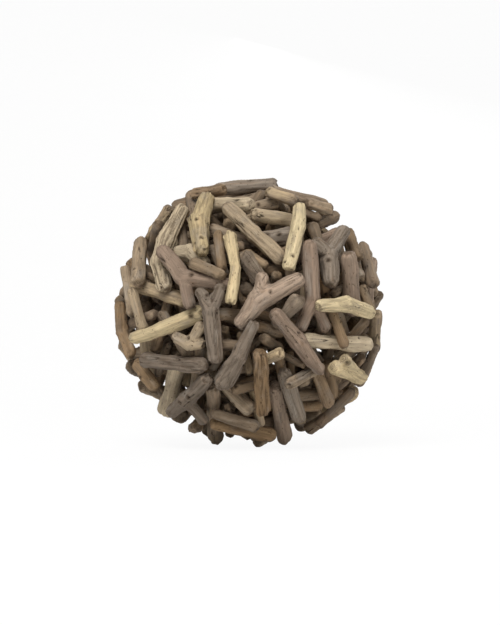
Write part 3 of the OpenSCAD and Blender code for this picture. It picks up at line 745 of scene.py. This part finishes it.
# %% Values of each point
stated_knots = front_knots()
for index, stick in enumerate(sticks):
    points, dice = stick["points"], stick["dice"]
    grain, axis, radius, tip, tip_number = wood_places(points, stick["limbs"])
    knots = [(place, size) for owner, place, size in stated_knots if owner == index]
    if not knots and dice.random() < KNOT_SHARE:
        knots = [(points[dice.integers(len(points))], dice.uniform(*KNOT_SIZE) * radius.mean() * MM)
                 for _ in range(dice.integers(1, MOST_KNOTS + 1))]
    knot = np.full(len(points), NO_KNOT)
    for place, size in knots:
        knot = np.minimum(knot, np.linalg.norm(points - place, axis=1) / size)
    ragged = np.zeros((len(points), 3))
    for number in np.unique(tip_number):
        if dice.random() < BROKEN_SHARE or stick["node"] in BROKEN_ENDS:
            inward = axis if number % 2 == 0 else -axis
            here = (tip_number == number) & (tip < FAR)
            ragged[here] = inward[here]
    tone, seed, usual = dice.random(), dice.random() * SEEDS, dice.uniform(*USUAL_RIDGES)
    whole = {"tone": tone, "stick": seed, "rough": STRONG_RIDGES.get(stick["node"], usual)}
    stick["values"] = {
        "grain": grain, "axis": axis, "ragged": ragged, "radius": radius, "tip": tip, "knot": knot,
        **{name: np.full(len(points), value) for name, value in whole.items()},
    }
print(f"{len(stated_knots)} of {len(FRONT_KNOTS)} stated knots found")

# %% [markdown]
# ## The body of driftwood
# One Geometry Nodes tree gives every stick its body. It pushes the even mesh in and out: a section
# that is never quite round, slow lumps, ridges and grooves along the grain, drying checks, knots
# that stand proud round a sunken eye, and splintered ends. Noise that is stretched along the grain
# does most of this. How deep a point lies goes on to the material, which paints shade into the deep places.
# A ramp is stated by the two values between which it runs, and by what it gives at each of them.

# %% Noise in the wood
SECTION_LENGTH = 20.0
LUMP_CELL = (9.0, 11.0)
RIDGE_CELL = (2.6, 34.0)
CHECK_CELL = (5.0, 60.0)
CHECK_PATCH = (9.0, 16.0)
SPLINTER_CELL = (2.6, 30.0)
CHECK_WIDTH = 0.016
CHECKED_PLACES = (0.54, 0.64)
GROOVE_WIDTH = 0.13


def wood_noise(tree, grain, stick, cell, seed=0.0, detail=2.0):
    """Noise with cells so many millimetres across and along the grain, other for each seed."""
    across, along = cell
    place = vector_calc(tree, "MULTIPLY", grain, (1 / across, 1 / across, 1 / along))
    return noise(tree, place, calc(tree, "ADD", stick, seed), detail)


def ramp(tree, value, low, high, start=0.0, end=1.0):
    """A smooth step from start to end as a value goes from low to high."""
    node = add(tree, "ShaderNodeMapRange", interpolation_type="SMOOTHSTEP")
    for socket, given in zip(node.inputs, (value, low, high, start, end)):
        feed(tree, socket, given)
    return node.outputs[0]


def checks(tree, grain, stick):
    """1 in the middle of a drying check and 0 away from it."""
    level = wood_noise(tree, grain, stick, CHECK_CELL, detail=1.5)
    line = calc(tree, "ABSOLUTE", calc(tree, "SUBTRACT", level, 0.5))
    where = wood_noise(tree, grain, stick, CHECK_PATCH, 31.0)
    split = ramp(tree, line, 0.0, CHECK_WIDTH, 1.0, 0.0)
    return calc(tree, "MULTIPLY", split, ramp(tree, where, *CHECKED_PLACES))


def ridges(tree, grain, stick):
    """From 0 in a groove to 1 on a ridge, along the grain."""
    level = wood_noise(tree, grain, stick, RIDGE_CELL, 3.0, detail=2.5)
    return ramp(tree, calc(tree, "ABSOLUTE", calc(tree, "SUBTRACT", level, 0.5)), 0.0, GROOVE_WIDTH)


def end_on(tree, normal, axis):
    """How squarely the surface faces along the stick, from 0 on the bark to 1 on an end."""
    facing = add(tree, "ShaderNodeVectorMath", operation="DOT_PRODUCT")
    feed(tree, facing.inputs[0], normal)
    feed(tree, facing.inputs[1], axis)
    return calc(tree, "ABSOLUTE", facing.outputs["Value"])


# %% Tree that shapes a stick
BODY_SIZES = (
    ("Unevenness", 0.62), ("Lumps", 0.26), ("Ridge depth", 0.5), ("Check depth", 0.7),
    ("Knot height", 0.9), ("Splinter length", 1.9), ("Fullness", 0.12),
)
RIDGE_LEVEL = 0.6
FAINT_ON_ENDS = (0.25, 0.8, 1.0, 0.2)
KNOT_RIM = (0.5, 2.0, 1.0, 0.0)
KNOT_EYE = (0.0, 0.75, 1.3, 0.0)
SPLINTERS = (0.4, 0.62)
SPLINTERED_PART = (0.0, 5.0, 1.0, 0.0)
SPLINTER_RELIEF = 0.3


def named(tree, name, kind="FLOAT"):
    """A value that each point of the mesh carries."""
    node = add(tree, "GeometryNodeInputNamedAttribute", data_type=kind)
    node.inputs["Name"].default_value = name
    return node.outputs["Attribute"]


def driftwood_tree():
    """Geometry Nodes that turn an even mesh into a driftwood body."""
    tree = bpy.data.node_groups.new("driftwood body", "GeometryNodeTree")
    face = tree.interface
    face.new_socket("Geometry", in_out="INPUT", socket_type="NodeSocketGeometry")
    for name, value in BODY_SIZES:
        face.new_socket(name, in_out="INPUT", socket_type="NodeSocketFloat").default_value = value
    face.new_socket("Material", in_out="INPUT", socket_type="NodeSocketMaterial")
    face.new_socket("Geometry", in_out="OUTPUT", socket_type="NodeSocketGeometry")
    start, end = add(tree, "NodeGroupInput"), add(tree, "NodeGroupOutput")
    given = start.outputs
    grain, axis, ragged = (named(tree, name, "FLOAT_VECTOR") for name in ("grain", "axis", "ragged"))
    stick, radius, rough = (named(tree, name) for name in ("stick", "radius", "rough"))
    knot, tip = named(tree, "knot"), named(tree, "tip")

    per_radius = calc(tree, "DIVIDE", 1.0, radius)
    section = vector_calc(tree, "MULTIPLY", grain, combine(tree, per_radius, per_radius, 1 / SECTION_LENGTH))
    uneven = calc(tree, "SUBTRACT", noise(tree, section, calc(tree, "ADD", stick, 11.0), 0.5), 0.5)
    lumps = calc(tree, "SUBTRACT", wood_noise(tree, grain, stick, LUMP_CELL, detail=1.5), 0.5)
    height = calc(tree, "ADD", calc(tree, "MULTIPLY", uneven, given["Unevenness"]),
                  calc(tree, "MULTIPLY", lumps, given["Lumps"]))
    height = calc(tree, "MULTIPLY", height, radius)

    normal = add(tree, "GeometryNodeInputNormal").outputs[0]
    on_side = ramp(tree, end_on(tree, normal, axis), *FAINT_ON_ENDS)
    ridge = calc(tree, "SUBTRACT", ridges(tree, grain, stick), RIDGE_LEVEL)
    ridge = calc(tree, "MULTIPLY", calc(tree, "MULTIPLY", ridge, given["Ridge depth"]), rough)
    ridge = calc(tree, "MULTIPLY", ridge, on_side)
    check = calc(tree, "MULTIPLY", checks(tree, grain, stick), given["Check depth"])
    rim, eye = ramp(tree, knot, *KNOT_RIM), ramp(tree, knot, *KNOT_EYE)
    swell = calc(tree, "MULTIPLY", calc(tree, "SUBTRACT", rim, eye), given["Knot height"])
    fine = calc(tree, "ADD", calc(tree, "SUBTRACT", ridge, check), swell)
    total = calc(tree, "ADD", calc(tree, "ADD", height, fine), given["Fullness"])

    splinter = ramp(tree, wood_noise(tree, grain, stick, SPLINTER_CELL, 5.0), *SPLINTERS)
    near_tip = ramp(tree, tip, *SPLINTERED_PART)
    depth = calc(tree, "MULTIPLY", calc(tree, "MULTIPLY", splinter, near_tip), given["Splinter length"])
    move = vector_calc(tree, "ADD", scaled(tree, normal, total), scaled(tree, ragged, depth))
    move = vector_calc(tree, "MULTIPLY", move, (MM, MM, MM))

    shift = add(tree, "GeometryNodeSetPosition")
    tree.links.new(given["Geometry"], shift.inputs["Geometry"])
    tree.links.new(move, shift.inputs["Offset"])
    # How deep each point lies, which the material turns into painted shade.
    store = add(tree, "GeometryNodeStoreNamedAttribute", data_type="FLOAT", domain="POINT")
    store.inputs["Name"].default_value = "relief"
    tree.links.new(shift.outputs[0], store.inputs["Geometry"])
    sunk = calc(tree, "MULTIPLY", depth, SPLINTER_RELIEF)
    feed(tree, store.inputs["Value"], calc(tree, "SUBTRACT", fine, sunk))
    smooth = add(tree, "GeometryNodeSetShadeSmooth")
    tree.links.new(store.outputs[0], smooth.inputs["Geometry"])
    real = add(tree, "GeometryNodeRealizeInstances")
    tree.links.new(smooth.outputs[0], real.inputs[0])
    paint = add(tree, "GeometryNodeSetMaterial")
    tree.links.new(real.outputs[0], paint.inputs["Geometry"])
    tree.links.new(given["Material"], paint.inputs["Material"])
    tree.links.new(paint.outputs[0], end.inputs[0])
    return tree


body_tree = driftwood_tree()
print(f"{len(body_tree.nodes)} nodes in the tree that shapes a stick")

# %% [markdown]
# ## Weathered wood
# All the finishes are one recipe with other colours. The colour runs in streaks along the grain,
# drifts in patches and is stained round knots, with painted shade in grooves, checks and knot eyes.
# End grain shows where the surface faces along the stick. The wood is dull all over, and fine fibres stand
# up in the bump.

# %% Colours of each finish, as shades that its sticks run through
PALETTES = {
    "straw_driftwood": [(203, 185, 148), (187, 167, 130), (168, 149, 114)],
    "pale_driftwood": [(190, 173, 146), (174, 156, 129), (158, 140, 115)],
    "taupe_driftwood": [(164, 144, 125), (148, 128, 110), (131, 112, 96)],
    "grey_driftwood": [(140, 127, 112), (126, 113, 99), (113, 100, 87)],
    "brown_driftwood": [(152, 127, 95), (136, 111, 82), (122, 99, 74)],
    "mixed_driftwood": [(182, 161, 128), (134, 117, 99), (162, 142, 116), (118, 105, 91), (142, 117, 88)],
    # The shaded finish is a darker copy of the wood's colours: painted shade for sticks deep inside the
    # ball.
    "shaded_driftwood": [(142, 122, 97), (116, 101, 84), (130, 107, 80)],
}


def linear(colour):
    """A colour in Blender's own values, from its 0 to 255 screen values."""
    return tuple(((c / 255 + 0.055) / 1.055) ** 2.4 for c in colour) + (1.0,)


def blend(tree, factor, a, b, mode="MIX"):
    """Two colours mixed."""
    node = add(tree, "ShaderNodeMix", data_type="RGBA", blend_type=mode)
    for index, value in ((0, factor), (6, a), (7, b)):
        feed(tree, node.inputs[index], value)
    return node.outputs[2]


def read(tree, name, output="Fac"):
    """A value that the finished piece carries on its points."""
    return add(tree, "ShaderNodeAttribute", attribute_name=name).outputs[output]


# %% Streaks, patches, stains and painted shade
FIBRE_CELL = (0.55, 14.0)
BAND_CELL = (2.2, 40.0)
PATCH_CELL = (8.0, 15.0)
SPECK_CELL = (1.1, 2.2)
PATCH_DRIFT = 0.7
SILVER_PATCHES = (0.5, 0.78, 0.0, 0.55)
WARM_BANDS = (0.56, 0.8, 0.0, 0.35)
STREAK_SHARE = 0.75
STREAK_LIGHT = (0.45, 1.05, 0.64, 1.15)
# Painted shade: the colour darkens where the relief sinks into a groove.
GROOVE_SHADE = (-0.75, 0.02, 0.66, 0.0)
DARK_SPECKS = (0.66, 0.74, 0.0, 0.7)
SPECKS_IN_KNOT = (0.35, 0.6, 0.5, 0.85)
KNOT_STAIN = (0.3, 1.1, 1.0, 0.0)
# Painted shade: the sunken eye of a knot is darkened towards near black.
KNOT_PIT_SHADE = (0.1, 0.5, 0.6, 0.0)
# Painted shade: the drying checks are darkened towards near black.
CHECK_SHADE = 0.7
END_GRAIN = (0.72, 0.95)
RING_RATE = 7.0
RING_WOBBLE = 5.0
RING_STAIN = (-1.0, 1.0, 0.2, 0.6)
# The dark colour of specks, knot stains and end-grain rings; it is also the painted shade in grooves.
DARK_STAIN_AND_SHADE = linear((58, 44, 30))
# Near black: painted shade in the drying checks and in the sunken eyes of knots.
BLACK_SHADE = linear((28, 20, 13))
SILVER = linear((148, 139, 127))
WARM = linear((140, 108, 78))

# %% Dull surface with raised fibres
DULLNESS = (0.3, 0.7, 0.78, 0.94)
SHINE = 0.22
FIBRE_HEIGHT = 0.45 * MM
BUMP_STRENGTH = 0.75
FIBRE_RISE = 0.8
BAND_RISE = 0.4
SPECK_PITS = (0.62, 0.75)
PIT_DEPTH = 0.6

# %% The recipe
def driftwood(slot):
    """Material of weathered wood in one range of colours."""
    material = bpy.data.materials.new(slot)
    material.use_nodes = True
    tree = material.node_tree
    shader = tree.nodes["Principled BSDF"]
    grain, axis = read(tree, "grain", "Vector"), read(tree, "axis", "Vector")
    stick, relief, knot, tone = (read(tree, name) for name in ("stick", "relief", "knot", "tone"))
    fibre = wood_noise(tree, grain, stick, FIBRE_CELL, 41.0, 3.0)
    bands = wood_noise(tree, grain, stick, BAND_CELL, 17.0)
    patch = wood_noise(tree, grain, stick, PATCH_CELL, 53.0)
    speck = wood_noise(tree, grain, stick, SPECK_CELL, 67.0, 1.0)
    split = checks(tree, grain, stick)

    base = add(tree, "ShaderNodeValToRGB")
    shades = PALETTES[slot]
    while len(base.color_ramp.elements) < len(shades):
        base.color_ramp.elements.new(0.5)
    for k, shade in enumerate(shades):
        base.color_ramp.elements[k].position = k / (len(shades) - 1)
        base.color_ramp.elements[k].color = linear(shade)
    drift = calc(tree, "MULTIPLY", calc(tree, "SUBTRACT", patch, 0.5), PATCH_DRIFT)
    feed(tree, base.inputs[0], calc(tree, "ADD", tone, drift))
    colour = blend(tree, ramp(tree, patch, *SILVER_PATCHES), base.outputs[0], SILVER)
    colour = blend(tree, ramp(tree, bands, *WARM_BANDS), colour, WARM)
    light = [calc(tree, "MULTIPLY", streak, STREAK_SHARE) for streak in (fibre, bands)]
    light = ramp(tree, calc(tree, "ADD", *light), *STREAK_LIGHT)
    colour = blend(tree, 1.0, colour, combine(tree, light, light, light), "MULTIPLY")
    # Painted shade in the grooves, where the relief sinks.
    colour = blend(tree, ramp(tree, relief, *GROOVE_SHADE), colour, DARK_STAIN_AND_SHADE)
    colour = blend(tree, ramp(tree, speck, *DARK_SPECKS), colour, DARK_STAIN_AND_SHADE)
    stain = calc(tree, "MULTIPLY", ramp(tree, speck, *SPECKS_IN_KNOT), ramp(tree, knot, *KNOT_STAIN))
    colour = blend(tree, stain, colour, DARK_STAIN_AND_SHADE)
    # Painted shade, near black, in the sunken eye of a knot and in the checks.
    colour = blend(tree, ramp(tree, knot, *KNOT_PIT_SHADE), colour, BLACK_SHADE)
    colour = blend(tree, calc(tree, "MULTIPLY", split, CHECK_SHADE), colour, BLACK_SHADE)

    normal = add(tree, "ShaderNodeNewGeometry").outputs["Normal"]
    end_grain = ramp(tree, end_on(tree, normal, axis), *END_GRAIN)
    apart = add(tree, "ShaderNodeSeparateXYZ")
    feed(tree, apart.inputs[0], grain)
    squares = [calc(tree, "POWER", apart.outputs[i], 2.0) for i in (0, 1)]
    turns = calc(tree, "MULTIPLY", calc(tree, "SQRT", calc(tree, "ADD", *squares)), RING_RATE)
    ring = calc(tree, "SINE", calc(tree, "ADD", turns, calc(tree, "MULTIPLY", speck, RING_WOBBLE)))
    dark_ring = calc(tree, "MULTIPLY", end_grain, ramp(tree, ring, *RING_STAIN))
    colour = blend(tree, dark_ring, colour, DARK_STAIN_AND_SHADE)
    tree.links.new(colour, shader.inputs["Base Color"])
    feed(tree, shader.inputs["Roughness"], ramp(tree, fibre, *DULLNESS))
    shader.inputs["Specular IOR Level"].default_value = SHINE

    bump = add(tree, "ShaderNodeBump")
    bump.inputs["Strength"].default_value = BUMP_STRENGTH
    bump.inputs["Distance"].default_value = FIBRE_HEIGHT
    rise = [calc(tree, "MULTIPLY", *pair) for pair in ((fibre, FIBRE_RISE), (bands, BAND_RISE))]
    rise = calc(tree, "ADD", *rise)
    pits = calc(tree, "MULTIPLY", ramp(tree, speck, *SPECK_PITS), PIT_DEPTH)
    feed(tree, bump.inputs["Height"], calc(tree, "SUBTRACT", calc(tree, "SUBTRACT", rise, split), pits))
    tree.links.new(bump.outputs[0], shader.inputs["Normal"])
    return material


finishes = {slot: driftwood(slot) for slot in sorted(set(slot_of.values()))}
print("finishes:", ", ".join(finishes))

# %% [markdown]
# ## The pieces
# Each CAD node is replaced by one piece that holds its sticks, at the same place and named after the
# node. The added sticks are one more piece. All of them ride on the ball's one body.

# %% Make each piece
def joined(name, members):
    """One mesh of several sticks, with their values on its points."""
    points = np.concatenate([stick["points"] for stick in members])
    starts = np.cumsum([0] + [len(stick["points"]) for stick in members[:-1]])
    faces = np.concatenate([stick["faces"] + start for stick, start in zip(members, starts)])
    mesh = bpy.data.meshes.new(name)
    mesh.from_pydata(points.tolist(), [], faces.tolist())
    for key in members[0]["values"]:
        values = np.concatenate([stick["values"][key] for stick in members]).astype(np.float32)
        kind, field = ("FLOAT_VECTOR", "vector") if values.ndim == 2 else ("FLOAT", "value")
        mesh.attributes.new(key, kind, "POINT").data.foreach_set(field, values.ravel())
    return mesh


def shaped(name, mesh, material):
    """The mesh as the tree shapes it, as a plain object."""
    piece = bpy.data.objects.new(name, mesh)
    bpy.context.scene.collection.objects.link(piece)
    body = piece.modifiers.new("driftwood body", "NODES")
    body.node_group = body_tree
    for item in body_tree.interface.items_tree:
        if item.name == "Material":
            body[item.identifier] = material
    evaluated = piece.evaluated_get(bpy.context.evaluated_depsgraph_get())
    result = bpy.data.meshes.new_from_object(evaluated)
    piece.modifiers.remove(body)
    piece.data = result
    piece.data.name = name
    bpy.data.meshes.remove(mesh)
    return piece


for node, slot in [*slot_of.items(), (FILL_NODE, FILL_SLOT)]:
    members = [stick for stick in sticks if stick["node"] == node]
    name = node + "_wood"
    piece = shaped(name, joined(name, members), finishes[slot])
    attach(piece, "root")
    if node in slot_of:
        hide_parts(node)
print(f"{len(slot_of) + 1} pieces")

# %% Print how far the box grows
final_low, final_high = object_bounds()
grown = [*(cad_low - final_low), *(final_high - cad_high)]
print("box grows by, mm:", [round(side / MM, 2) for side in grown])
